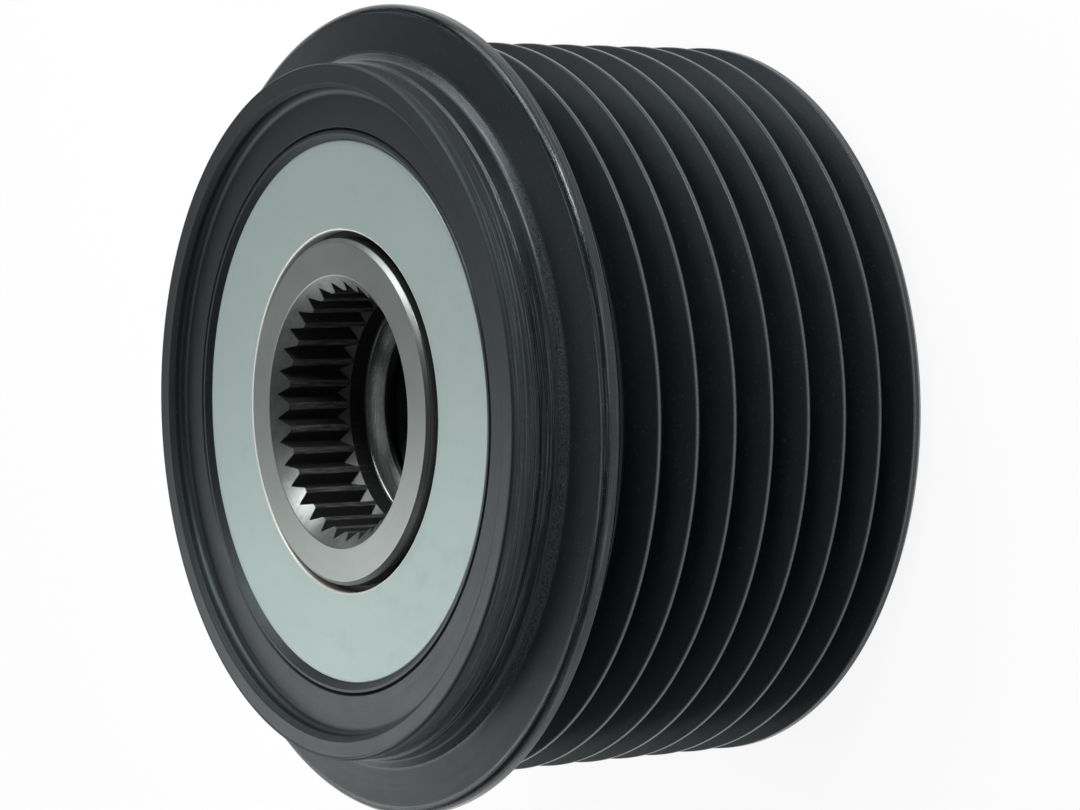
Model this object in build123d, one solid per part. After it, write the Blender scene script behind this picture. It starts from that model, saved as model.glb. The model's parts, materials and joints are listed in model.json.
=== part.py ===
from build123d import *
from math import cos, pi, radians, sin, tan
import os

# One-way alternator pulley for a ribbed belt. The axis is +Z, the splined front end is up, and the
# origin is the centre of the hub's rear face, on which the pulley stands. All sizes in millimetres.

# Hub: splined socket, thread and pilot bore
SPLINE_COUNT = 33
SPLINE_CREST_DIAMETER = 19.7
SPLINE_DEPTH = 0.75
SPLINE_LAND = 0.475
SPLINE_LENGTH = 6.3
MOUTH_RELIEF = 0.45
SOCKET_RELIEF = 1.65
SOCKET_FLOOR_DROP = 1.15
THREAD_DIAMETER = 16.0
THREAD_PITCH = 1.5
METRIC_THREAD_HEIGHT = 0.5413
PILOT_STEP = 1.0
PILOT_DEPTH = 8.0
PILOT_CHAMFER = 0.6
SEAT_WALL = 1.4
SEAT_CHAMFER = 0.5
HUB_PROUD = 0.5
HUB_STAND = 0.8
HUB_EDGE = 0.35

# Roller clutch and its two needle bearings
RACE_WALL = 2.1
RACE_SETBACK = 1.0
RACE_CHAMFER = 0.3
NEEDLE_DIAMETER = 3.5
NEEDLE_LENGTH = 5.0
NEEDLE_COUNT = 12
NEEDLE_CAGE_RIM = 0.8
RAMP_DROP = 0.5
ROLLER_COUNT = 8
ROLLER_LAG = 4.0
CLUTCH_CAGE_RIM = 1.45
CAGE_WALL_GAP = 0.2
SPRING_STRIP = 0.25
SPRING_INSET = 1.25
SPRING_ROOM = 2.5
SPRING_REACH_IN = 0.75
SPRING_REACH_OUT = 1.0
SLEEVE_WALL = 2.3
SEAL_WIDTH = 2.1
SEAL_LIP = 0.5
SEAL_NECK = 1.0
SEAL_BODY = 2.0

# Belt ring: a counterbore at each end for a cover disc, and the staked ring round the front one
DISC_SHOULDER = 2.0
DISC_THICKNESS = 1.2
DISC_RECESS = 0.4
REAR_DISC_RECESS = 1.45
DISC_HOLE_GAP = 0.58
DISC_EDGE = 0.15
STAKE_SLOPE = 0.5
STAKE_RING_WIDTH = 0.75
STAKE_GROOVE = 0.28

# Belt ring: nose with the seat for the dust cap
FACE_WIDTH = 2.57
FACE_RECESS = 1.35
CAP_SEAT_FILLET = 0.6
CAP_SEAT_EDGE = 0.4
NOSE_WALL = 1.95
NOSE_LENGTH = 4.33
NOSE_EDGE = 0.15
NOSE_STEP = 0.2
NOSE_STEP_DROP = 2.5
NOSE_FOOT_DROP = 3.9
NOSE_FOOT_RUN = 0.7

# Belt ring: ribs, rear rim and flange
RIB_PITCH = 3.56
GROOVE_COUNT = 8
GROOVE_ANGLE = 40.0
GROOVE_WIDTH = 3.2
GROOVE_DEPTH = 3.0
RING_WALL = 7.15
REAR_RIM_WIDTH = 1.5
REAR_RIM_CHAMFER = 0.9
FLANGE_RISE = 2.85
FLANGE_SLOPE_LENGTH = 2.35
FLANGE_LAND = 0.5
FLANGE_BACK_EDGE = 0.15
FLANGE_ROUND = 0.7
FLANGE_DISH = 0.7

# Clearances
ROLLING_GAP = 0.05
POCKET_GAP = 0.1
END_PLAY = 0.3
KEY_GAP = 0.1

# Radii from the splines outwards; needles and clutch rollers share one outer race
SPLINE_CREST_R = SPLINE_CREST_DIAMETER / 2
SPLINE_ROOT_R = SPLINE_CREST_R + SPLINE_DEPTH
SPLINE_VALLEY_WIDTH = 2 * pi * SPLINE_CREST_R / SPLINE_COUNT - SPLINE_LAND
MOUTH_R = SPLINE_ROOT_R + MOUTH_RELIEF
THREAD_MINOR_R = THREAD_DIAMETER / 2 - METRIC_THREAD_HEIGHT * THREAD_PITCH
PILOT_R = (THREAD_DIAMETER + PILOT_STEP) / 2
SEAT_R = SPLINE_ROOT_R + SEAT_WALL
RACE_R = SEAT_R + RACE_WALL
NEEDLE_ORBIT_R = RACE_R + ROLLING_GAP + NEEDLE_DIAMETER / 2
SLEEVE_BORE_R = NEEDLE_ORBIT_R + NEEDLE_DIAMETER / 2 + ROLLING_GAP
ROLLER_DIAMETER = NEEDLE_DIAMETER + RAMP_DROP
ROLLER_ORBIT_R = SLEEVE_BORE_R - ROLLING_GAP - ROLLER_DIAMETER / 2
RAMP_R = ROLLER_ORBIT_R * cos(radians(ROLLER_LAG)) - ROLLER_DIAMETER / 2 - ROLLING_GAP
CAGE_INNER_R = RACE_R + CAGE_WALL_GAP
CAGE_OUTER_R = SLEEVE_BORE_R - CAGE_WALL_GAP
RING_BORE_R = SLEEVE_BORE_R + SLEEVE_WALL
DISC_R = RING_BORE_R + DISC_SHOULDER
STAKE_R = DISC_R + STAKE_RING_WIDTH
CAP_SEAT_R = STAKE_R + STAKE_GROOVE + FACE_WIDTH + CAP_SEAT_FILLET
NOSE_R = CAP_SEAT_R + NOSE_WALL
GROOVE_ROOT_R = RING_BORE_R + RING_WALL
CREST_R = GROOVE_ROOT_R + GROOVE_DEPTH
FLANGE_R = CREST_R + FLANGE_RISE

# Places along the axis, from the rear face of the hub up
RING_REAR_Z = HUB_STAND
FIRST_GROOVE_Z = RING_REAR_Z + REAR_RIM_WIDTH + GROOVE_WIDTH / 2
FIELD_END_Z = FIRST_GROOVE_Z + (GROOVE_COUNT - 1) * RIB_PITCH + GROOVE_WIDTH / 2
FLANGE_BACK_Z = FIELD_END_Z + FLANGE_SLOPE_LENGTH
FLANGE_FRONT_Z = FLANGE_BACK_Z + FLANGE_LAND
NOSE_FOOT_Z = FLANGE_FRONT_Z + FLANGE_ROUND + FLANGE_DISH
NOSE_FRONT_Z = NOSE_FOOT_Z + NOSE_LENGTH
FACE_Z = NOSE_FRONT_Z - FACE_RECESS
FRONT_DISC_Z = FACE_Z - DISC_RECESS - DISC_THICKNESS
REAR_DISC_Z = RING_REAR_Z + REAR_DISC_RECESS
HUB_FRONT_Z = FRONT_DISC_Z + DISC_THICKNESS + HUB_PROUD
FRONT_SEAL_Z = FRONT_DISC_Z - SEAL_WIDTH
REAR_SEAL_Z = REAR_DISC_Z + DISC_THICKNESS
SLEEVE_REAR_Z = REAR_SEAL_Z + SEAL_WIDTH
SLEEVE_LENGTH = FRONT_SEAL_Z - SLEEVE_REAR_Z
NEEDLE_CAGE_LENGTH = NEEDLE_LENGTH + 2 * (POCKET_GAP + NEEDLE_CAGE_RIM)
REAR_CAGE_Z = SLEEVE_REAR_Z + END_PLAY
FRONT_CAGE_Z = FRONT_SEAL_Z - END_PLAY - NEEDLE_CAGE_LENGTH
CLUTCH_CAGE_Z = REAR_CAGE_Z + NEEDLE_CAGE_LENGTH + END_PLAY
CLUTCH_CAGE_LENGTH = FRONT_CAGE_Z - END_PLAY - CLUTCH_CAGE_Z
CLUTCH_MIDDLE_Z = CLUTCH_CAGE_Z + CLUTCH_CAGE_LENGTH / 2
ROLLER_LENGTH = CLUTCH_CAGE_LENGTH - 2 * (CLUTCH_CAGE_RIM + POCKET_GAP)
SPRING_LENGTH = ROLLER_LENGTH - 2 * SPRING_INSET


def turned(*outline):
    """Solid of revolution about Z from the corners (radius, height) of its section."""
    section = Polyline(*[(r, 0, z) for r, z in outline], close=True)
    return revolve(make_face(section), Axis.Z)


def tube(outer_r, inner_r, z, length, edge=0.0):
    """Plain ring with its bottom at z, its outer and inner corners broken by edge."""
    top = z + length
    if edge == 0.0:
        return turned((inner_r, z), (outer_r, z), (outer_r, top), (inner_r, top))
    return turned(
        (inner_r + edge, z), (outer_r - edge, z), (outer_r, z + edge), (outer_r, top - edge),
        (outer_r - edge, top), (inner_r + edge, top), (inner_r, top - edge), (inner_r, z + edge),
    )


def arc_corners(r, z, radius, start, end, chords):
    """Corners on an arc about (r, z), from the start angle to the end angle in degrees."""
    turns = [radians(start + (end - start) * k / chords) for k in range(chords + 1)]
    return [(r + radius * cos(turn), z + radius * sin(turn)) for turn in turns]


def round_the_axis(solid, count):
    """Copies of a solid, evenly spaced round Z, starting with the solid itself."""
    return [Rot(0, 0, 360 / count * k) * solid for k in range(count)]


def groove_outline():
    """Corners of the ribbed face, from the rear rim to the flange: each groove a flat-rooted V."""
    half_mouth = GROOVE_WIDTH / 2
    half_root = half_mouth - GROOVE_DEPTH * tan(radians(GROOVE_ANGLE / 2))
    corners = []
    for k in range(GROOVE_COUNT):
        z = FIRST_GROOVE_Z + k * RIB_PITCH
        corners += [(CREST_R, z - half_mouth), (GROOVE_ROOT_R, z - half_root)]
        corners += [(GROOVE_ROOT_R, z + half_root), (CREST_R, z + half_mouth)]
    return corners


def make_pulley_ring():
    """Belt ring: ribbed face, front flange, nose with the cap seat, bore and counterbores."""
    step_r = NOSE_R + NOSE_STEP
    step_z = NOSE_FRONT_Z - NOSE_STEP_DROP
    outside = [
        (DISC_R + DISC_EDGE, RING_REAR_Z),
        (CREST_R - REAR_RIM_CHAMFER, RING_REAR_Z),
        (CREST_R, RING_REAR_Z + REAR_RIM_CHAMFER),
        *groove_outline(),
        (FLANGE_R - FLANGE_BACK_EDGE, FLANGE_BACK_Z - FLANGE_BACK_EDGE),
        (FLANGE_R, FLANGE_BACK_Z),
        *arc_corners(FLANGE_R - FLANGE_ROUND, FLANGE_FRONT_Z, FLANGE_ROUND, 0, 90, 2),
        (step_r + NOSE_FOOT_RUN, NOSE_FOOT_Z),
        (step_r, NOSE_FRONT_Z - NOSE_FOOT_DROP),
        (step_r, step_z),
        (NOSE_R, step_z + NOSE_STEP),
        (NOSE_R, NOSE_FRONT_Z - NOSE_EDGE),
        (NOSE_R - NOSE_EDGE, NOSE_FRONT_Z),
    ]
    inside = [
        (CAP_SEAT_R + CAP_SEAT_EDGE, NOSE_FRONT_Z),
        (CAP_SEAT_R, NOSE_FRONT_Z - CAP_SEAT_EDGE),
        *arc_corners(CAP_SEAT_R - CAP_SEAT_FILLET, FACE_Z + CAP_SEAT_FILLET, CAP_SEAT_FILLET, 0, -90, 2),
        (STAKE_R + STAKE_GROOVE, FACE_Z),
        (STAKE_R + STAKE_GROOVE / 2, FACE_Z - STAKE_GROOVE),
        (STAKE_R, FACE_Z),
        (DISC_R + STAKE_SLOPE, FACE_Z),
        (DISC_R, FACE_Z - STAKE_SLOPE),
        (DISC_R, FRONT_DISC_Z),
        (RING_BORE_R, FRONT_DISC_Z),
        (RING_BORE_R, REAR_SEAL_Z),
        (DISC_R, REAR_SEAL_Z),
        (DISC_R, RING_REAR_Z + DISC_EDGE),
    ]
    return turned(*outside, *inside)


def make_cover_disc(z):
    """Plated steel cover disc, pressed into a counterbore of the ring."""
    return tube(DISC_R, RACE_R + DISC_HOLE_GAP, z, DISC_THICKNESS, DISC_EDGE)


def make_seal(disc_side_z, away):
    """Lip seal behind a cover disc; away is the direction, +1 or -1, from the disc into the clutch."""
    lip_r = RACE_R + ROLLING_GAP
    inner_side_z = disc_side_z + away * SEAL_WIDTH
    return turned(
        (RING_BORE_R, disc_side_z), (RING_BORE_R, inner_side_z), (lip_r + SEAL_BODY, inner_side_z),
        (lip_r + SEAL_NECK, disc_side_z + away * SEAL_NECK), (lip_r, disc_side_z + away * SEAL_LIP),
        (lip_r, disc_side_z),
    )


def make_spline_valleys():
    """V-shaped valleys of the socket's splines, each ending blind in a slope of 45 degrees."""
    inner_r = SPLINE_CREST_R - SPLINE_DEPTH
    outer_r = SPLINE_ROOT_R + SPLINE_DEPTH
    root_end_z = HUB_FRONT_Z - SPLINE_LENGTH
    bottom_z = root_end_z - 2 * SPLINE_DEPTH
    top_z = HUB_FRONT_Z + SPLINE_DEPTH
    vee = Polyline(
        (SPLINE_ROOT_R, 0), (inner_r, SPLINE_VALLEY_WIDTH), (inner_r, -SPLINE_VALLEY_WIDTH), close=True)
    valley = extrude(Pos(0, 0, bottom_z) * make_face(vee), HUB_FRONT_Z - bottom_z)
    run_out = turned(
        (0, bottom_z), (inner_r, bottom_z), (outer_r, root_end_z + SPLINE_DEPTH),
        (outer_r, top_z), (0, top_z),
    )
    return round_the_axis(valley & run_out, SPLINE_COUNT)


def make_hub():
    """Hub: collar, race seat, pilot bore, thread bore and the splined socket."""
    floor_z = HUB_FRONT_Z - SPLINE_LENGTH - SPLINE_DEPTH - SOCKET_RELIEF
    blank = turned(
        (PILOT_R + PILOT_CHAMFER, 0), (SEAT_R - SEAT_CHAMFER, 0), (SEAT_R, SEAT_CHAMFER),
        (SEAT_R, FRONT_SEAL_Z), (RACE_R, FRONT_SEAL_Z), (RACE_R, HUB_FRONT_Z - HUB_EDGE),
        (RACE_R - HUB_EDGE, HUB_FRONT_Z), (MOUTH_R, HUB_FRONT_Z),
        (SPLINE_CREST_R, HUB_FRONT_Z - (MOUTH_R - SPLINE_CREST_R)), (SPLINE_CREST_R, floor_z),
        (THREAD_MINOR_R, floor_z - SOCKET_FLOOR_DROP),
        (THREAD_MINOR_R, PILOT_DEPTH + PILOT_R - THREAD_MINOR_R),
        (PILOT_R, PILOT_DEPTH), (PILOT_R, PILOT_CHAMFER),
    )
    return blank - make_spline_valleys()


def ramp_section(circle_r, flat_r):
    """Round section with a flat under each clutch roller, the first one square to +X."""
    flats = RegularPolygon(flat_r, ROLLER_COUNT, major_radius=False, rotation=180 / ROLLER_COUNT)
    return Circle(circle_r) & flats


def make_inner_race():
    """Hardened sleeve on the hub: a plain needle track at each end, ramps between them."""
    tracks = tube(RACE_R, SEAT_R, RACE_SETBACK, FRONT_SEAL_Z - RACE_SETBACK, RACE_CHAMFER)
    ramp_z = CLUTCH_CAGE_Z - END_PLAY / 2
    ramp_length = CLUTCH_CAGE_LENGTH + END_PLAY
    around = Circle(RACE_R + END_PLAY) - ramp_section(RACE_R + END_PLAY / 2, RAMP_R)
    return tracks - extrude(Pos(0, 0, ramp_z) * around, ramp_length)


def make_clutch_sleeve():
    """Hardened outer race, pressed into the bore of the ring between the seals."""
    return tube(RING_BORE_R, SLEEVE_BORE_R, SLEEVE_REAR_Z, SLEEVE_LENGTH, RACE_CHAMFER)


def pocket_sides():
    """Tangential limits of a clutch pocket: past the roller on one side, the spring on the other."""
    roller_y = -ROLLER_ORBIT_R * sin(radians(ROLLER_LAG))
    low = roller_y - ROLLER_DIAMETER / 2 - POCKET_GAP
    high = roller_y + ROLLER_DIAMETER / 2 + SPRING_ROOM
    return low, high


def make_clutch_cage():
    """Moulded cage, keyed on the ramps, with a pocket for each roller and its spring."""
    blank = Circle(CAGE_OUTER_R) - ramp_section(CAGE_INNER_R, RAMP_R + KEY_GAP)
    cage = extrude(Pos(0, 0, CLUTCH_CAGE_Z) * blank, CLUTCH_CAGE_LENGTH)
    low, high = pocket_sides()
    reach = SLEEVE_BORE_R - RAMP_R
    pocket = Pos(RAMP_R + reach / 2, (low + high) / 2, CLUTCH_MIDDLE_Z) * Box(
        2 * reach, high - low, ROLLER_LENGTH + 2 * POCKET_GAP)
    return cage - round_the_axis(pocket, ROLLER_COUNT)


def make_clutch_spring():
    """Folded strip spring between a pocket's wall and its roller, at the first pocket."""
    low, high = pocket_sides()
    half = SPRING_STRIP / 2
    roller_x = ROLLER_ORBIT_R * cos(radians(ROLLER_LAG))
    roller_y = -ROLLER_ORBIT_R * sin(radians(ROLLER_LAG))
    touch = ROLLER_DIAMETER / 2 + half + ROLLING_GAP
    wall_y = high - half
    tip_y = roller_y + touch
    inner_x = roller_x - SPRING_REACH_IN
    outer_x = roller_x + SPRING_REACH_OUT
    fold = Polyline(
        (outer_x, wall_y), (inner_x, wall_y), (outer_x, (wall_y + tip_y) / 2), (roller_x, tip_y))
    strip = trace(fold, line_width=SPRING_STRIP)
    return extrude(Pos(0, 0, CLUTCH_MIDDLE_Z - SPRING_LENGTH / 2) * strip, SPRING_LENGTH)


def make_clutch_roller():
    """Clutch roller of the first pocket, lagging on its ramp."""
    roller = Pos(ROLLER_ORBIT_R, 0, CLUTCH_MIDDLE_Z) * Cylinder(ROLLER_DIAMETER / 2, ROLLER_LENGTH)
    return Rot(0, 0, -ROLLER_LAG) * roller


def make_needle(cage_z):
    """Needle of the first pocket of a cage that starts at cage_z."""
    middle_z = cage_z + NEEDLE_CAGE_LENGTH / 2
    return Pos(NEEDLE_ORBIT_R, 0, middle_z) * Cylinder(NEEDLE_DIAMETER / 2, NEEDLE_LENGTH)


def make_needle_cage(z):
    """Needle cage: a ring with one round pocket for each needle."""
    ring = tube(CAGE_OUTER_R, CAGE_INNER_R, z, NEEDLE_CAGE_LENGTH)
    pocket = Pos(NEEDLE_ORBIT_R, 0, z + NEEDLE_CAGE_LENGTH / 2) * Cylinder(
        NEEDLE_DIAMETER / 2 + POCKET_GAP, NEEDLE_LENGTH + 2 * POCKET_GAP)
    return ring - round_the_axis(pocket, NEEDLE_COUNT)


def make_parts():
    """Every piece of the pulley under the name of its node."""
    parts = {
        "pulley_ring": make_pulley_ring(),
        "front_disc": make_cover_disc(FRONT_DISC_Z),
        "rear_disc": make_cover_disc(REAR_DISC_Z),
        "front_seal": make_seal(FRONT_DISC_Z, -1),
        "rear_seal": make_seal(REAR_SEAL_Z, 1),
        "clutch_sleeve": make_clutch_sleeve(),
        "hub": make_hub(),
        "inner_race": make_inner_race(),
        "clutch_cage": make_clutch_cage(),
        "front_needle_cage": make_needle_cage(FRONT_CAGE_Z),
        "rear_needle_cage": make_needle_cage(REAR_CAGE_Z),
    }
    sets = {
        "clutch_roller": (make_clutch_roller(), ROLLER_COUNT),
        "clutch_spring": (make_clutch_spring(), ROLLER_COUNT),
        "front_needle": (make_needle(FRONT_CAGE_Z), NEEDLE_COUNT),
        "rear_needle": (make_needle(REAR_CAGE_Z), NEEDLE_COUNT),
    }
    for name, (piece, count) in sets.items():
        for k, copy in enumerate(round_the_axis(piece, count), start=1):
            parts[f"{name}_{k}"] = copy
    return parts


os.makedirs("parts", exist_ok=True)
for node, piece in make_parts().items():
    export_step(piece, f"parts/{node}.step")
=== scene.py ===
import json
from math import cos, pi, radians, sin, tan

import bpy
from mathutils import Matrix, Vector


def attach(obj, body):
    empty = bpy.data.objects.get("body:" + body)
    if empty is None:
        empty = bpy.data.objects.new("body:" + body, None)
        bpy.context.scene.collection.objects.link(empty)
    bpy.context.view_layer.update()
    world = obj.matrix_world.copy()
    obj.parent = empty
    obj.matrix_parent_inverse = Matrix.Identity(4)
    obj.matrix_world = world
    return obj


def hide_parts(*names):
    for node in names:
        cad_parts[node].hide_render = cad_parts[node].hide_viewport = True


# One-way alternator pulley, its axis along Z and its splined front end up. The sizes of pieces are
# in millimetres and turned into metres where the meshes are made.

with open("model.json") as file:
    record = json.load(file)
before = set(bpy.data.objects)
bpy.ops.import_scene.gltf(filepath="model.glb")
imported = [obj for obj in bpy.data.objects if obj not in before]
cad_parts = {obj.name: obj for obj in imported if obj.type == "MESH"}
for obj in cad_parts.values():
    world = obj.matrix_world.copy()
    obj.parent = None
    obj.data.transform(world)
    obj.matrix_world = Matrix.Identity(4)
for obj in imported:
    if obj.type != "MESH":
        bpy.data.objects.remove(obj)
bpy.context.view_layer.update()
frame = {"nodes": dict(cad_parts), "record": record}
nodes = frame["nodes"]
MM = 0.001


# Sizes as in the part's source

# Belt ring: ribs and rear rim
CREST_R, GROOVE_ROOT_R, RIB_PITCH, GROOVE_COUNT = 30.15, 27.15, 3.56, 8
GROOVE_HALF_MOUTH, GROOVE_HALF_ANGLE, CREST_ROUND, ROOT_ROUND = 1.6, radians(20), 0.16, 0.25
GROOVE_HALF_ROOT = GROOVE_HALF_MOUTH - (CREST_R - GROOVE_ROOT_R) * tan(GROOVE_HALF_ANGLE)
RING_REAR_Z, REAR_CHAMFER, FIRST_GROOVE_Z = 0.8, 0.9, 3.9
RIBS_END_Z = FIRST_GROOVE_Z + (GROOVE_COUNT - 0.5) * RIB_PITCH

# Belt ring: flange and nose
FLANGE_R, FLANGE_BACK_Z, FLANGE_FRONT_Z = 33.0, 32.77, 33.27
FLANGE_BACK_EDGE, FLANGE_ROUND, FLANGE_ROUND_RISE = 0.15, 0.62, 0.57
NOSE_R, NOSE_FRONT_Z, NOSE_EDGE = 28.15, 39.0, 0.15
NOSE_STEP, NOSE_STEP_DROP = 0.2, 2.5
NOSE_FOOT_Z, NOSE_FOOT_DROP, NOSE_FOOT_RUN = 34.67, 3.9, 0.7

# Belt ring: seat of the dust cap, staked edge and bore
CAP_SEAT_R, CAP_SEAT_EDGE, CAP_SEAT_FILLET = 26.2, 0.4, 0.6
FACE_Z, STAKE_R, STAKE_GROOVE, STAKE_SLOPE = 37.65, 22.75, 0.28, 0.5
RING_BORE_R, REAR_SEAL_Z = 20.0, 3.45

# Cover discs
DISC_R, DISC_HOLE_R, DISC_THICKNESS, DISC_EDGE = 22.0, 14.68, 1.2, 0.15
FRONT_DISC_Z, REAR_DISC_Z = 36.05, 2.25

# Hub
HUB_FRONT_Z, RACE_R, HUB_EDGE, FRONT_SEAL_Z = 37.75, 14.1, 0.35, 33.95
SEAT_R, SEAT_CHAMFER, MOUTH_R = 12.0, 0.5, 11.05
SPLINE_COUNT, SPLINE_CREST_R, SPLINE_ROOT_R, SPLINE_END_Z = 33, 9.85, 10.6, 31.45
SOCKET_FLOOR_Z, SOCKET_FLOOR_DROP = 29.05, 1.15
THREAD_R, THREAD_MINOR_R, THREAD_PITCH, THREAD_RUN_IN = 8.0, 7.188, 1.5, 0.8
PILOT_R, PILOT_DEPTH, PILOT_CHAMFER = 8.5, 8.0, 0.6


# Trees of nodes

class Worksheet:
    """Adds nodes to the tree of a finish or of a shape."""

    def __init__(self, tree):
        self.tree = tree

    def add(self, kind, settings=None, inputs=None):
        node = self.tree.nodes.new(kind)
        for name, value in (settings or {}).items():
            setattr(node, name, value)
        for name, value in (inputs or {}).items():
            self.feed(node.inputs[name], value)
        return node

    def feed(self, socket, value):
        if isinstance(value, Reading):
            value = value.socket
        if isinstance(value, bpy.types.NodeSocket):
            self.tree.links.new(value, socket)
        else:
            socket.default_value = value

    def reading(self, kind, settings=None, inputs=None):
        return Reading(self, self.add(kind, settings, inputs).outputs[0])

    def shades(self, factor, first, second):
        """Colour between two colours: the first at factor 0, the second at 1."""
        mix = self.add("ShaderNodeMix", {"data_type": "RGBA"}, {0: factor, 6: first, 7: second})
        return mix.outputs[2]


class Reading:
    """A number that varies over a surface; arithmetic on it adds Math nodes."""

    def __init__(self, sheet, socket):
        self.sheet, self.socket = sheet, socket

    def maths(self, operation, *values):
        return self.sheet.reading(
            "ShaderNodeMath", {"operation": operation}, dict(enumerate(values)))

    def __add__(self, other):
        return self.maths("ADD", self, other)

    def __sub__(self, other):
        return self.maths("SUBTRACT", self, other)

    def __mul__(self, other):
        return self.maths("MULTIPLY", self, other)

    def __truediv__(self, other):
        return self.maths("DIVIDE", self, other)

    def __radd__(self, other):
        return self.maths("ADD", other, self)

    def __rsub__(self, other):
        return self.maths("SUBTRACT", other, self)

    def __rmul__(self, other):
        return self.maths("MULTIPLY", other, self)

    def __abs__(self):
        return self.maths("ABSOLUTE", self)

    def rises(self, start, end):
        """0 below start, 1 above end, smooth between."""
        return self.sheet.reading(
            "ShaderNodeMapRange", {"interpolation_type": "SMOOTHSTEP"},
            {"Value": self, "From Min": start, "From Max": end})

    def within(self, low, high, soft=0.05):
        """1 between low and high, 0 outside."""
        return self.rises(low - soft, low) * (1.0 - self.rises(high, high + soft))


class Finish(Worksheet):
    """A finish for turned pieces, which reads the place on the piece in millimetres."""

    def __init__(self, name):
        self.material = bpy.data.materials.new(name)
        self.material.use_nodes = True
        super().__init__(self.material.node_tree)
        self.surface = self.tree.nodes["Principled BSDF"]
        place = self.add("ShaderNodeTexCoord").outputs["Object"]
        self.place = self.add(
            "ShaderNodeVectorMath", {"operation": "SCALE"}, {0: place, "Scale": 1000.0}).outputs[0]
        parts = self.add("ShaderNodeSeparateXYZ", inputs={0: self.place})
        self.x, self.y, self.z = (Reading(self, parts.outputs[k]) for k in range(3))
        square = self.x * self.x + self.y * self.y
        self.r = square.maths("SQRT", square)

    def set(self, **values):
        for name, value in values.items():
            self.feed(self.surface.inputs[name.replace("_", " ").title()], value)

    def noise(self, scale, detail=3.0, stretch=(1.0, 1.0, 1.0), seed=0.0):
        """Cloudy variation with about scale patches a millimetre."""
        place = self.add(
            "ShaderNodeVectorMath", {"operation": "MULTIPLY"}, {0: self.place, 1: stretch})
        return self.reading(
            "ShaderNodeTexNoise", {"noise_dimensions": "4D"},
            {"Vector": place.outputs[0], "W": seed, "Scale": scale, "Detail": detail,
             "Roughness": 0.55})

    def turning(self, lines, drift, seed=0.0, detail=4.0):
        """Marks left by the lathe: lines a millimetre across the cut, drift along it."""
        across = self.add("ShaderNodeCombineXYZ", inputs={
            0: self.r * lines + self.x * drift,
            1: self.z * lines + self.y * drift,
            2: self.x * drift - self.y * drift})
        return self.reading(
            "ShaderNodeTexNoise", {"noise_dimensions": "4D"},
            {"Vector": across.outputs[0], "W": seed, "Scale": 1.0, "Detail": detail,
             "Roughness": 0.6})

    def relief(self, height, depth):
        """Bump of the given height pattern, depth in millimetres."""
        bump = self.add(
            "ShaderNodeBump", inputs={"Height": height, "Distance": depth * MM, "Strength": 1.0})
        self.feed(self.surface.inputs["Normal"], bump.outputs[0])


# Finishes

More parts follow.
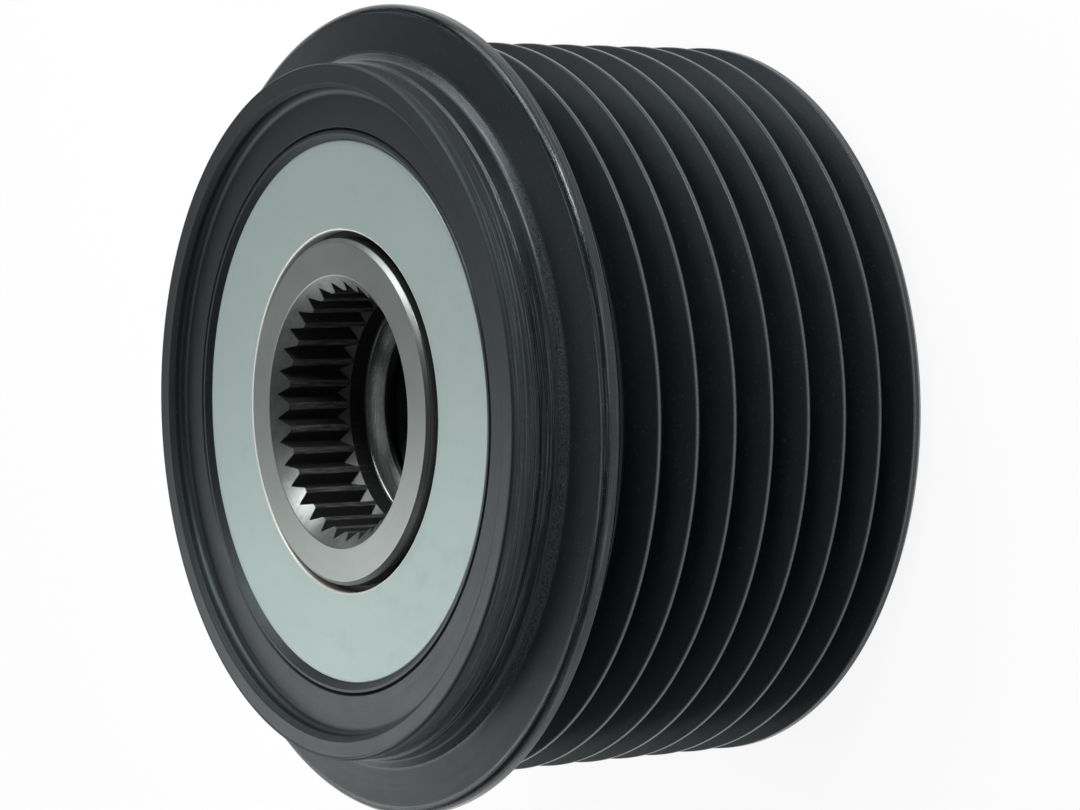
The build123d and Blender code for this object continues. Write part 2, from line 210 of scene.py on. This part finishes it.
def make_black_steel():
    """Satin black coat on turned steel.

    Lathe lines show on rim and nose, the nose's foot is scuffed, and the belt has worn the rib
    crests and polished the flanks below them.
    """
    coat = Finish("black_steel")
    marks = coat.turning(5.0, 0.05, seed=1.0)
    fine = coat.turning(12.0, 0.12, seed=2.0)
    scratches = coat.turning(7.0, 0.07, seed=22.0, detail=2.0).rises(0.55, 0.65)
    clouds = coat.noise(0.35, seed=3.0)
    grain = coat.noise(7.0, 2.0, seed=4.0)
    specks = coat.noise(5.0, 2.0, seed=18.0).rises(0.60, 0.72)
    scuffs = coat.noise(11.0, 2.0, seed=19.0).rises(0.42, 0.62)

    ribs = (coat.r.within(GROOVE_ROOT_R + 0.15, CREST_R - 0.05, 0.1)
            * (1.0 - coat.z.rises(FLANGE_BACK_Z - 0.17, FLANGE_BACK_Z + 0.03)))
    flank_tops = ribs * coat.r.rises(GROOVE_ROOT_R + 0.35, CREST_R - 0.05)
    crest = (coat.r.rises(CREST_R - 0.05, CREST_R - 0.01)
             * (1.0 - coat.z.rises(RIBS_END_Z - 0.2, RIBS_END_Z)))
    across = (coat.z - FIRST_GROOVE_Z) / RIB_PITCH
    crest_line = crest * (1.0 - abs(across.maths("FRACT", across) - 0.5).rises(0.008, 0.024))
    rim = coat.r.rises(FLANGE_R - 0.85, FLANGE_R - 0.6)
    foot = (coat.z.within(NOSE_FOOT_Z - 0.07, NOSE_FOOT_Z + 0.48, 0.12)
            * coat.r.within(NOSE_R + 0.35, NOSE_R + 1.05, 0.12))
    wall = (coat.r.within(NOSE_R - 0.05, NOSE_R + 0.25, 0.03)
            * coat.z.within(NOSE_FRONT_Z - 3.7, NOSE_FRONT_Z - 0.25, 0.1))
    nose_edges = (coat.z.rises(NOSE_FRONT_Z - 0.7, NOSE_FRONT_Z - 0.4)
                  * (1.0 - coat.r.within(CAP_SEAT_R + 0.5, NOSE_R - 0.35, 0.05))
                  * coat.r.rises(CAP_SEAT_R - 0.2, CAP_SEAT_R - 0.1))

    bare = (rim + wall) * scratches * 0.25 + crest_line * (0.1 + 0.5 * grain)
    worn = (crest * grain * 0.25 + foot * scuffs * 0.5 + rim * fine.rises(0.5, 0.7) * 0.25
            + flank_tops * 0.08)
    black = coat.shades(clouds, (0.004, 0.005, 0.0055, 1), (0.007, 0.0085, 0.0095, 1))
    dusty = coat.shades(specks * 0.35, black, (0.07, 0.075, 0.08, 1))
    scuffed = coat.shades(worn, dusty, (0.12, 0.13, 0.145, 1))
    coat.set(
        specular_tint=(0.82, 0.96, 1.0, 1.0),
        base_color=coat.shades(bare, scuffed, (0.22, 0.235, 0.26, 1)),
        roughness=(0.41 + 0.12 * (clouds - 0.5) + 0.16 * (marks - 0.5) - 0.12 * foot - 0.26 * rim
                   - 0.16 * wall - 0.14 * crest + 0.18 * nose_edges * (1.0 - scratches)),
        metallic=worn * 0.6 + bare * 0.7)
    lines = (marks * 0.6 + fine * 0.3) * (1.0 + 3.5 * (rim + wall) + nose_edges)
    coat.relief(lines + grain * (0.22 + 0.4 * ribs) + foot * scuffs * 0.15, 0.012)
    return coat.material


def make_zinc_plate():
    """Matt blue-grey zinc plating on a pressed disc; the sheared edge of its hole is painted near
    white all round as a highlight.
    """
    plate = Finish("plated_disc")
    clouds = plate.noise(0.12, seed=5.0)
    grain = plate.noise(6.0, 3.0, seed=6.0)
    stains = plate.noise(0.5, 4.0, seed=20.0).rises(0.5, 0.75)
    marks = plate.turning(4.0, 0.04, seed=7.0)
    # Painted highlight: a thin ring at the edge of the hole is painted near white.
    edge = 1.0 - plate.r.rises(DISC_HOLE_R + 0.12, DISC_HOLE_R + 0.2)
    shade = plate.shades(clouds, (0.325, 0.408, 0.388, 1), (0.362, 0.444, 0.414, 1))
    stained = plate.shades(grain * 0.22 + stains * 0.15, shade, (0.24, 0.32, 0.33, 1))
    plate.set(
        base_color=plate.shades(edge, stained, (0.82, 0.83, 0.77, 1)),
        roughness=0.46 + 0.08 * (grain - 0.5) + 0.06 * (marks - 0.5) + 0.05 * stains,
        metallic=0.5)
    plate.relief(grain * 0.5 + marks * 0.25, 0.006)
    return plate.material


def make_ground_steel():
    """Hub steel: ground face, broached splines, turned floor with some oil, bore. Painted shade
    darkens the outer wall in the gap to the cover and the run-outs, and paints the splines and the
    bore near black.
    """
    steel = Finish("ground_steel")
    marks = steel.turning(7.0, 0.09, seed=8.0)
    coarse = steel.turning(2.2, 0.03, seed=9.0)
    clouds = steel.noise(0.3, seed=10.0)
    smut = steel.noise(1.6, 4.0, seed=11.0)
    drawn = steel.noise(6.0, 3.0, (1.0, 1.0, 0.12), seed=21.0)
    scratched = steel.turning(4.0, 0.5, seed=23.0, detail=3.0).rises(0.5, 0.62)

    below_mouth = abs(steel.z - (HUB_FRONT_Z - MOUTH_R) - steel.r).rises(0.03, 0.09)
    above_end = abs(steel.z - (SPLINE_END_Z - SPLINE_ROOT_R) - steel.r).rises(0.03, 0.08)
    socket = (steel.r.within(SPLINE_CREST_R - 0.85, SPLINE_ROOT_R + 0.15)
              * steel.z.within(SOCKET_FLOOR_Z + 0.2, HUB_FRONT_Z - 0.35))
    splines = socket * below_mouth * above_end
    run_out = socket * below_mouth * (1.0 - above_end)
    lands = (splines * (1.0 - steel.r.rises(SPLINE_CREST_R + 0.03, SPLINE_CREST_R + 0.1))
             * steel.z.rises(SPLINE_END_Z - 0.7, SPLINE_END_Z - 0.6))
    floor = (steel.r.within(THREAD_R + 0.05, SPLINE_CREST_R - 0.05, 0.1)
             * steel.z.within(SOCKET_FLOOR_Z - 1.55, SOCKET_FLOOR_Z + 0.05, 0.1))
    bore = 1.0 - steel.r.rises(THREAD_R + 0.05, THREAD_R + 0.2)
    wall = steel.r.rises(RACE_R - 0.08, RACE_R - 0.03)
    mouth = steel.r.within(SPLINE_CREST_R + 0.05, MOUTH_R - 0.07) * (1.0 - below_mouth)

    grey = steel.shades(clouds, (0.225, 0.245, 0.238, 1), (0.28, 0.305, 0.295, 1))
    # Painted shade: the hub's outer wall, down in the gap to the front cover, is darkened; the
    # darker patches on the mouth are smut.
    shade_and_smut = wall * 0.6 + mouth * smut.rises(0.45, 0.7) * 0.3
    with_shade_and_smut = steel.shades(shade_and_smut, grey, (0.07, 0.07, 0.075, 1))
    oiled = steel.shades(floor * smut.rises(0.4, 0.8) * 0.4, with_shade_and_smut, (0.085, 0.09, 0.065, 1))
    # Painted shade: the run-outs where the splines end, deep in the socket, are darkened.
    with_shaded_run_out = steel.shades(run_out * 0.8, oiled, (0.12, 0.125, 0.12, 1))
    # Painted shade: the spline valleys and the bore are painted near black, and the splines keep
    # little metal shine.
    with_black_shade = steel.shades(splines + bore * 0.95, with_shaded_run_out, (0.010, 0.010, 0.011, 1))
    rubbed = lands * (0.1 + drawn.rises(0.35, 0.7) * 0.6)
    steel.set(
        anisotropic=0.35, anisotropic_rotation=0.25,
        base_color=steel.shades(rubbed, with_black_shade, (0.12, 0.12, 0.12, 1)),
        roughness=(0.38 + 0.14 * (marks - 0.5) + 0.08 * (clouds - 0.5) + 0.14 * (splines + run_out)
                   - 0.10 * floor - 0.05 * floor * scratched - 0.12 * wall),
        metallic=1.0 - 0.75 * splines)
    lines = marks * 0.5 + coarse * 0.5
    steel.relief(lines + (smut + drawn) * lands * 0.6 + smut * floor * 0.05, 0.010)
    return steel.material


def make_race_steel():
    """Hardened bearing steel with fine grinding marks and a trace of oil."""
    steel = Finish("race_steel")
    marks = steel.turning(9.0, 0.1, seed=12.0)
    clouds = steel.noise(0.5, seed=13.0)
    steel.set(
        base_color=steel.shades(clouds, (0.42, 0.415, 0.40, 1), (0.54, 0.535, 0.52, 1)),
        roughness=0.24 + 0.12 * (marks - 0.5) + 0.08 * (clouds - 0.5),
        metallic=1.0)
    steel.relief(marks, 0.004)
    return steel.material


def make_spring_steel():
    """Bright rolled strip of the clutch springs."""
    strip = Finish("spring_steel")
    rolled = strip.noise(1.5, 3.0, (1.0, 1.0, 0.08), seed=14.0)
    strip.set(
        base_color=strip.shades(rolled, (0.40, 0.39, 0.37, 1), (0.52, 0.51, 0.49, 1)),
        roughness=0.28 + 0.15 * (rolled - 0.5), metallic=1.0)
    strip.relief(rolled, 0.003)
    return strip.material


def make_seal_rubber():
    """Matt black rubber of the lip seals."""
    rubber = Finish("seal_rubber")
    skin = rubber.noise(5.0, 3.0, seed=15.0)
    bloom = rubber.noise(0.4, seed=16.0)
    rubber.set(
        base_color=rubber.shades(bloom, (0.012, 0.012, 0.013, 1), (0.022, 0.022, 0.024, 1)),
        roughness=0.62 + 0.2 * (skin - 0.5))
    rubber.relief(skin, 0.012)
    return rubber.material


def make_cage_plastic():
    """Glass-filled cage plastic with a faint flow pattern."""
    plastic = Finish("cage_plastic")
    flow = plastic.noise(0.6, 4.0, (1.0, 1.0, 0.3), seed=17.0)
    fibre = plastic.noise(9.0, 2.0, (1.0, 1.0, 0.2), seed=18.0)
    plastic.set(
        base_color=plastic.shades(flow, (0.085, 0.062, 0.04, 1), (0.12, 0.09, 0.06, 1)),
        roughness=0.45 + 0.2 * (fibre - 0.5))
    plastic.relief(fibre, 0.006)
    return plastic.material


# Shapes

def rounded(corners, steps=4):
    """Section outline with each corner (r, z, radius) turned into an arc of that radius."""
    line = []
    for k, (r, z, radius) in enumerate(corners):
        here = Vector((r, z))
        if radius == 0.0:
            line.append(here)
            continue
        before = (Vector(corners[k - 1][:2]) - here).normalized()
        after = (Vector(corners[(k + 1) % len(corners)][:2]) - here).normalized()
        turn = before.angle(after)
        reach = radius / tan(turn / 2)
        centre = here + (before + after).normalized() * (radius / sin(turn / 2))
        first, last = here + before * reach - centre, here + after * reach - centre
        for step in range(steps + 1):
            t = step / steps
            spoke = (first * (1 - t) + last * t).normalized() * radius
            line.append(centre + spoke)
    return line


def braced(line, near=0.03, long=0.6):
    """Outline with a point close to both ends of each long straight, so that flats shade flat."""
    result = [line[0]]
    for last, here in zip(line, line[1:]):
        if (here - last).length > long:
            reach = (here - last).normalized() * near
            result += [last + reach, here - reach]
        result.append(here)
    return result


def ring_outline():
    """Section of the belt ring, from the rear face round the ribs, flange and nose to the bore."""
    outside = [
        (DISC_R + DISC_EDGE, RING_REAR_Z, 0.0),
        (CREST_R - REAR_CHAMFER, RING_REAR_Z, 0.15), (CREST_R, RING_REAR_Z + REAR_CHAMFER, 0.2)]
    for k in range(GROOVE_COUNT):
        z = FIRST_GROOVE_Z + k * RIB_PITCH
        outside += [
            (CREST_R, z - GROOVE_HALF_MOUTH, CREST_ROUND),
            (GROOVE_ROOT_R, z - GROOVE_HALF_ROOT, ROOT_ROUND),
            (GROOVE_ROOT_R, z + GROOVE_HALF_ROOT, ROOT_ROUND),
            (CREST_R, z + GROOVE_HALF_MOUTH, CREST_ROUND)]
    foot_r, step_z = NOSE_R + NOSE_STEP, NOSE_FRONT_Z - NOSE_STEP_DROP
    nose = [
        (FLANGE_R - FLANGE_BACK_EDGE, FLANGE_BACK_Z - FLANGE_BACK_EDGE, 0.0),
        (FLANGE_R, FLANGE_BACK_Z, 0.04),
        (FLANGE_R, FLANGE_FRONT_Z + FLANGE_ROUND_RISE, FLANGE_ROUND),
        (foot_r + NOSE_FOOT_RUN, NOSE_FOOT_Z, 0.2), (foot_r, NOSE_FRONT_Z - NOSE_FOOT_DROP, 0.5),
        (foot_r, step_z, 0.06), (NOSE_R, step_z + NOSE_STEP, 0.06),
        (NOSE_R, NOSE_FRONT_Z - NOSE_EDGE, 0.05), (NOSE_R - NOSE_EDGE, NOSE_FRONT_Z, 0.05)]
    seat = [
        (CAP_SEAT_R + CAP_SEAT_EDGE, NOSE_FRONT_Z, 0.1),
        (CAP_SEAT_R, NOSE_FRONT_Z - CAP_SEAT_EDGE, 0.1), (CAP_SEAT_R, FACE_Z, CAP_SEAT_FILLET)]
    bore = [
        (STAKE_R + STAKE_GROOVE, FACE_Z, 0.04),
        (STAKE_R + STAKE_GROOVE / 2, FACE_Z - STAKE_GROOVE, 0.0), (STAKE_R, FACE_Z, 0.03),
        (DISC_R + STAKE_SLOPE, FACE_Z, 0.08), (DISC_R, FACE_Z - STAKE_SLOPE, 0.0),
        (DISC_R, FRONT_DISC_Z, 0.0), (RING_BORE_R, FRONT_DISC_Z, 0.0),
        (RING_BORE_R, REAR_SEAL_Z, 0.0), (DISC_R, REAR_SEAL_Z, 0.0),
        (DISC_R, RING_REAR_Z + DISC_EDGE, 0.0)]
    return braced(rounded(outside + nose + seat + bore))


def disc_outline(z):
    """Section of a cover disc that lies at height z, its pressed edges rounded."""
    top = z + DISC_THICKNESS
    return braced(rounded([
        (DISC_HOLE_R, z, DISC_EDGE), (DISC_R, z, DISC_EDGE), (DISC_R, top, DISC_EDGE),
        (DISC_HOLE_R, top, 0.18)]))


class Sector:
    """Mesh of one sector of a turned piece, built row by row.

    The weight called thread says how far a thread is wound into each point.
    """

    def __init__(self):
        self.points, self.faces, self.thread = [], [], []

    def row(self, points, thread=0.0):
        start = len(self.points)
        self.points += points
        self.thread += [thread] * len(points)
        return list(range(start, start + len(points)))

    def skin(self, upper, lower):
        """Faces between two rows; one row may have several times the columns of the other."""
        if len(upper) < len(lower):
            share = (len(lower) - 1) // (len(upper) - 1)
            for k in range(len(upper) - 1):
                fine = lower[k * share:(k + 1) * share + 1]
                self.faces.append([upper[k + 1], upper[k], *fine])
            return
        share = (len(upper) - 1) // (len(lower) - 1)
        for k in range(len(lower) - 1):
            fine = upper[k * share:(k + 1) * share + 1]
            self.faces.append([lower[k], lower[k + 1], *reversed(fine)])

    def close(self, rows):
        """Faces between all rows, and from the last to the first."""
        for k, row in enumerate(rows):
            self.skin(rows[(k + 1) % len(rows)], row)

    def mesh(self, name):
        mesh = bpy.data.meshes.new(name)
        mesh.from_pydata([(x * MM, y * MM, z * MM) for x, y, z in self.points], [], self.faces)
        weight = mesh.attributes.new("thread", "FLOAT", "POINT")
        weight.data.foreach_set("value", self.thread)
        return mesh


def turned_sector(name, outline, copies):
    """Sector of a closed turned section, whose outline runs anticlockwise in (r, z)."""
    sides = (-pi / copies, pi / copies)
    sector = Sector()
    sector.close([sector.row([(p.x * cos(a), p.x * sin(a), p.y) for a in sides]) for p in outline])
    return sector.mesh(name)


# Half of one spline valley across the socket: (distance from its middle, depth from the crest)
VALLEY = [
    (0.0, 0.72), (0.05, 0.695), (0.12, 0.621), (0.3, 0.429), (0.5, 0.214), (0.64, 0.075),
    (0.70, 0.022), (0.78, 0.0), (pi * SPLINE_CREST_R / SPLINE_COUNT, 0.0)]


def hub_sector():
    """Share of the hub for one spline, from the outer wall over the splines to the pilot bore."""
    half = [(x / SPLINE_CREST_R, SPLINE_CREST_R + depth) for x, depth in VALLEY]
    valley = [(-a, r) for a, r in reversed(half[1:])] + half
    coarse = valley[::4]
    sector = Sector()

    def plain(r, z, columns=valley, thread=0.0):
        return sector.row([(r * cos(a), r * sin(a), z) for a, _ in columns], thread)

    def cone(top_z, top_r):
        """Row over the splines on a cone of 45 degrees that is top_r wide at top_z."""
        return sector.row([(r * cos(a), r * sin(a), top_z - (top_r - r)) for a, r in valley])

    outer = braced(rounded([
        (PILOT_R + PILOT_CHAMFER, 0.0, 0.1), (SEAT_R - SEAT_CHAMFER, 0.0, 0.1),
        (SEAT_R, SEAT_CHAMFER, 0.1), (SEAT_R, FRONT_SEAL_Z, 0.0), (RACE_R, FRONT_SEAL_Z, 0.0),
        (RACE_R, HUB_FRONT_Z - HUB_EDGE, 0.08), (RACE_R - HUB_EDGE, HUB_FRONT_Z, 0.08),
        (MOUTH_R + 0.05, HUB_FRONT_Z, 0.0)], 3))
    rows = [plain(p.x, p.y) for p in outer]
    rows.append(plain(MOUTH_R - 0.02, HUB_FRONT_Z - 0.05))
    rows += [cone(HUB_FRONT_Z, MOUTH_R), cone(SPLINE_END_Z, SPLINE_ROOT_R)]
    crest_end_z = SPLINE_END_Z - (SPLINE_ROOT_R - SPLINE_CREST_R) - 0.02
    rows.append(plain(SPLINE_CREST_R, crest_end_z))
    rows += [plain(SPLINE_CREST_R, SOCKET_FLOOR_Z + above) for above in (0.13, 0.1)]

    slope = SOCKET_FLOOR_DROP / (SPLINE_CREST_R - THREAD_MINOR_R)
    rows += [plain(SPLINE_CREST_R - inset, SOCKET_FLOOR_Z - inset * slope) for inset in (0.1, 0.13)]
    thread_top = SOCKET_FLOOR_Z - (SPLINE_CREST_R - THREAD_R) * slope
    thread_end = PILOT_DEPTH + PILOT_R - THREAD_R
    rows.append(plain(THREAD_R, thread_top))
    rows_a_turn = 12
    steps = int((thread_top - thread_end) / THREAD_PITCH * rows_a_turn)
    for k in range(1, steps):
        z = thread_top + (thread_end - thread_top) * k / steps
        fade = min(1.0, (thread_top - z) / THREAD_RUN_IN, (z - thread_end) / THREAD_RUN_IN)
        rows.append(plain(THREAD_R, z, coarse, fade))
    rows += [
        plain(THREAD_R, thread_end), plain(PILOT_R, PILOT_DEPTH), plain(PILOT_R, PILOT_CHAMFER)]
    sector.close(rows)
    return sector.mesh("hub_sector")


def round_the_axis_tree():
    """Sets copies of a sector round the axis, welds them and winds the thread into the bore."""
    tree = bpy.data.node_groups.new("round_the_axis", "GeometryNodeTree")
    sockets = {}
    for name, kind in (
            ("Sector", "Geometry"), ("Copies", "Int"), ("Weld", "Float"), ("Thread Pitch", "Float"),
            ("Thread Depth", "Float"), ("Finish", "Material")):
        item = tree.interface.new_socket(name, in_out="INPUT", socket_type="NodeSocket" + kind)
        sockets[name] = item.identifier
    tree.interface.new_socket("Piece", in_out="OUTPUT", socket_type="NodeSocketGeometry")
    sheet = Worksheet(tree)
    given = sheet.add("NodeGroupInput").outputs
    points = sheet.add("GeometryNodePoints", inputs={"Count": given["Copies"]})
    index = sheet.reading("GeometryNodeInputIndex")
    step = index * (2 * pi) / given["Copies"]
    turn = sheet.add("FunctionNodeAxisAngleToRotation", inputs={"Axis": (0, 0, 1), "Angle": step})
    copies = sheet.add("GeometryNodeInstanceOnPoints", inputs={
        "Points": points.outputs[0], "Instance": given["Sector"], "Rotation": turn.outputs[0]})
    solid = sheet.add("GeometryNodeRealizeInstances", inputs={0: copies.outputs[0]})
    welded = sheet.add("GeometryNodeMergeByDistance", inputs={
        "Geometry": solid.outputs[0], "Distance": given["Weld"]})
    place = sheet.add("GeometryNodeInputPosition").outputs[0]
    parts = sheet.add("ShaderNodeSeparateXYZ", inputs={0: place})
    x, y, z = (Reading(sheet, parts.outputs[k]) for k in range(3))
    turns = z / given["Thread Pitch"] - x.maths("ARCTAN2", y, x) / (2 * pi)
    ridge = 1.0 - abs(turns.maths("FRACT", turns) * 2.0 - 1.0)
    narrow_flat = 1.15
    crest = ridge.maths("MINIMUM", ridge * narrow_flat, 1.0)
    weight = sheet.reading(
        "GeometryNodeInputNamedAttribute", {"data_type": "FLOAT"}, {"Name": "thread"})
    inward = sheet.add("ShaderNodeVectorMath", {"operation": "NORMALIZE"}, {
        0: sheet.add("ShaderNodeCombineXYZ", inputs={0: x * -1.0, 1: y * -1.0, 2: 0.0}).outputs[0]})
    push = sheet.add("ShaderNodeVectorMath", {"operation": "SCALE"}, {
        0: inward.outputs[0], "Scale": crest * weight * given["Thread Depth"]})
    wound = sheet.add("GeometryNodeSetPosition", inputs={
        "Geometry": welded.outputs[0], "Offset": push.outputs[0]})
    finished = sheet.add("GeometryNodeSetMaterial", inputs={
        "Geometry": wound.outputs[0], "Material": given["Finish"]})
    out = sheet.add("NodeGroupOutput")
    tree.links.new(finished.outputs[0], out.inputs[0])
    return tree, sockets


def set_round_the_axis(name, sector, copies, finish, pitch=1.0, depth=0.0):
    """Whole piece from its sector, as a plain mesh with smooth faces and crisp corners."""
    tree, sockets = round_tree
    blank = bpy.data.objects.new(name + "_blank", sector)
    bpy.context.scene.collection.objects.link(blank)
    modifier = blank.modifiers.new("round_the_axis", "NODES")
    modifier.node_group = tree
    given = {
        "Copies": copies, "Weld": 0.002 * MM, "Thread Pitch": pitch * MM,
        "Thread Depth": depth * MM, "Finish": finish}
    for label, value in given.items():
        modifier[sockets[label]] = value
    graph = bpy.context.evaluated_depsgraph_get()
    mesh = bpy.data.meshes.new_from_object(blank.evaluated_get(graph), depsgraph=graph)
    mesh.name = name
    bpy.data.objects.remove(blank)
    mesh.attributes.remove(mesh.attributes["thread"])
    mesh.shade_smooth()
    mesh.set_sharp_from_angle(angle=radians(38))
    piece = bpy.data.objects.new(name, mesh)
    bpy.context.scene.collection.objects.link(piece)
    return piece


def fit(piece, body, node):
    """The piece stands for a CAD node and turns with its body."""
    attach(piece, body)
    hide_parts(node)


# Pieces

finishes = {
    "black_steel": make_black_steel(), "plated_disc": make_zinc_plate(),
    "ground_steel": make_ground_steel(), "race_steel": make_race_steel(),
    "seal_rubber": make_seal_rubber(), "cage_plastic": make_cage_plastic(),
    "spring_steel": make_spring_steel()}
round_tree = round_the_axis_tree()

RING_SECTORS, DISC_SECTORS = 240, 180
belt_ring = set_round_the_axis(
    "belt_ring", turned_sector("ring_sector", ring_outline(), RING_SECTORS), RING_SECTORS,
    finishes["black_steel"])
fit(belt_ring, "pulley", "pulley_ring")
for side, z in (("front", FRONT_DISC_Z), ("rear", REAR_DISC_Z)):
    sector = turned_sector(side + "_disc_sector", disc_outline(z), DISC_SECTORS)
    cover = set_round_the_axis(side + "_cover", sector, DISC_SECTORS, finishes["plated_disc"])
    fit(cover, "pulley", side + "_disc")
splined_hub = set_round_the_axis(
    "splined_hub", hub_sector(), SPLINE_COUNT, finishes["ground_steel"], THREAD_PITCH,
    THREAD_R - THREAD_MINOR_R)
fit(splined_hub, "hub", "hub")

# The pieces inside are those of the source, in their finishes
for row in frame["record"]["subparts"]:
    for place in nodes[row["node"]].material_slots:
        place.material = finishes[row["material_slot"]]


# Floor, light and camera

def make_floor(size=3.0, glow_share=0.9):
    """White table under the pulley: it glows where seen or mirrored, and keeps a soft shadow."""
    table = bpy.data.materials.new("white_table")
    table.use_nodes = True
    sheet = Worksheet(table.node_tree)
    table.node_tree.nodes.remove(table.node_tree.nodes["Principled BSDF"])
    paper = sheet.add("ShaderNodeBsdfDiffuse", inputs={"Color": (0.86, 0.86, 0.86, 1)})
    glow = sheet.add("ShaderNodeEmission", inputs={"Color": (1, 1, 1, 1), "Strength": 1.0})
    way = sheet.add("ShaderNodeLightPath").outputs
    seen = Reading(sheet, way["Is Camera Ray"]) + way["Is Glossy Ray"]
    mixed = sheet.add("ShaderNodeMixShader", inputs={
        0: seen.maths("MINIMUM", seen, 1.0) * glow_share, 1: paper.outputs[0], 2: glow.outputs[0]})
    sheet.feed(table.node_tree.nodes["Material Output"].inputs["Surface"], mixed.outputs[0])
    mesh = bpy.data.meshes.new("floor")
    corners = [(-size, -size, 0), (size, -size, 0), (size, size, 0), (-size, size, 0)]
    mesh.from_pydata(corners, [], [(0, 1, 2, 3)])
    mesh.materials.append(table)
    floor = bpy.data.objects.new("floor", mesh)
    bpy.context.scene.collection.objects.link(floor)


def make_surroundings(ceiling=0.06, fill=0.51):
    """White backdrop, seen and mirrored in full, a dark ceiling, and soft light all round."""
    world = bpy.data.worlds.new("white_room")
    bpy.context.scene.world = world
    world.use_nodes = True
    sheet = Worksheet(world.node_tree)
    way = sheet.add("ShaderNodeLightPath").outputs
    toward = sheet.add("ShaderNodeNewGeometry").outputs["Incoming"]
    up = Reading(sheet, sheet.add("ShaderNodeSeparateXYZ", inputs={0: toward}).outputs[2]) * -1.0
    backdrop = 1.0 - up.rises(0.15, 0.25)
    seen = Reading(sheet, way["Is Camera Ray"])
    glossy = Reading(sheet, way["Is Glossy Ray"])
    mirrored = ceiling + (1.0 - ceiling) * backdrop
    strength = seen + (1.0 - seen) * (glossy * mirrored + (1.0 - glossy) * fill)
    sheet.feed(world.node_tree.nodes["Background"].inputs["Color"], (1, 1, 1, 1))
    sheet.feed(world.node_tree.nodes["Background"].inputs["Strength"], strength)


def soft_box(name, place, size, power):
    """Square soft light that faces the pulley."""
    lamp = bpy.data.lights.new(name, "AREA")
    lamp.shape, lamp.size, lamp.energy = "SQUARE", size, power
    light = bpy.data.objects.new(name, lamp)
    bpy.context.scene.collection.objects.link(light)
    away = Vector(place) - Vector((0, 0, 0.02))
    turned = away.to_track_quat("Z", "Y").to_matrix().to_4x4()
    light.matrix_world = Matrix.Translation(place) @ turned
    light.visible_camera = False


make_floor()
make_surroundings()
# Name, place in metres, side in metres and power in watts
for light in (
        ("key_light", (0.52, 0.06, 0.42), 0.20, 0.95),
        ("side_light", (0.163, 0.059, 0.137), 0.10, 0.10),
        ("rim_light", (0.375, -0.175, 0.195), 0.12, 0.9),
        ("high_light", (0.002, 0.116, 0.403), 0.25, 0.127),
        ("back_light", (-0.043, 0.414, 0.296), 0.35, 0.114),
        ("back_left_light", (-0.217, 0.375, 0.287), 0.25, 0.21),
        ("left_light", (-0.407, -0.148, 0.287), 0.25, 0.059),
        ("near_low_light", (-0.039, 0.068, 0.082), 0.05, 0.006),
        ("near_high_light", (-0.032, 0.055, 0.101), 0.05, 0.0083)):
    soft_box(*light)

lens = bpy.data.cameras.new("camera")
lens.sensor_width, lens.lens, lens.clip_start = 36.0, 122.87, 0.01
camera = bpy.data.objects.new("camera", lens)
bpy.context.scene.collection.objects.link(camera)
right = Vector((0.022258, -0.551958, -0.833571))
up = Vector((0.995725, 0.087018, -0.031040))
turn = Matrix((right, up, right.cross(up))).transposed()
camera.matrix_world = Matrix.Translation((0.027713, -0.256719, 0.188669)) @ turn.to_4x4()
bpy.context.scene.camera = camera
bpy.context.scene.view_settings.view_transform = "Standard"
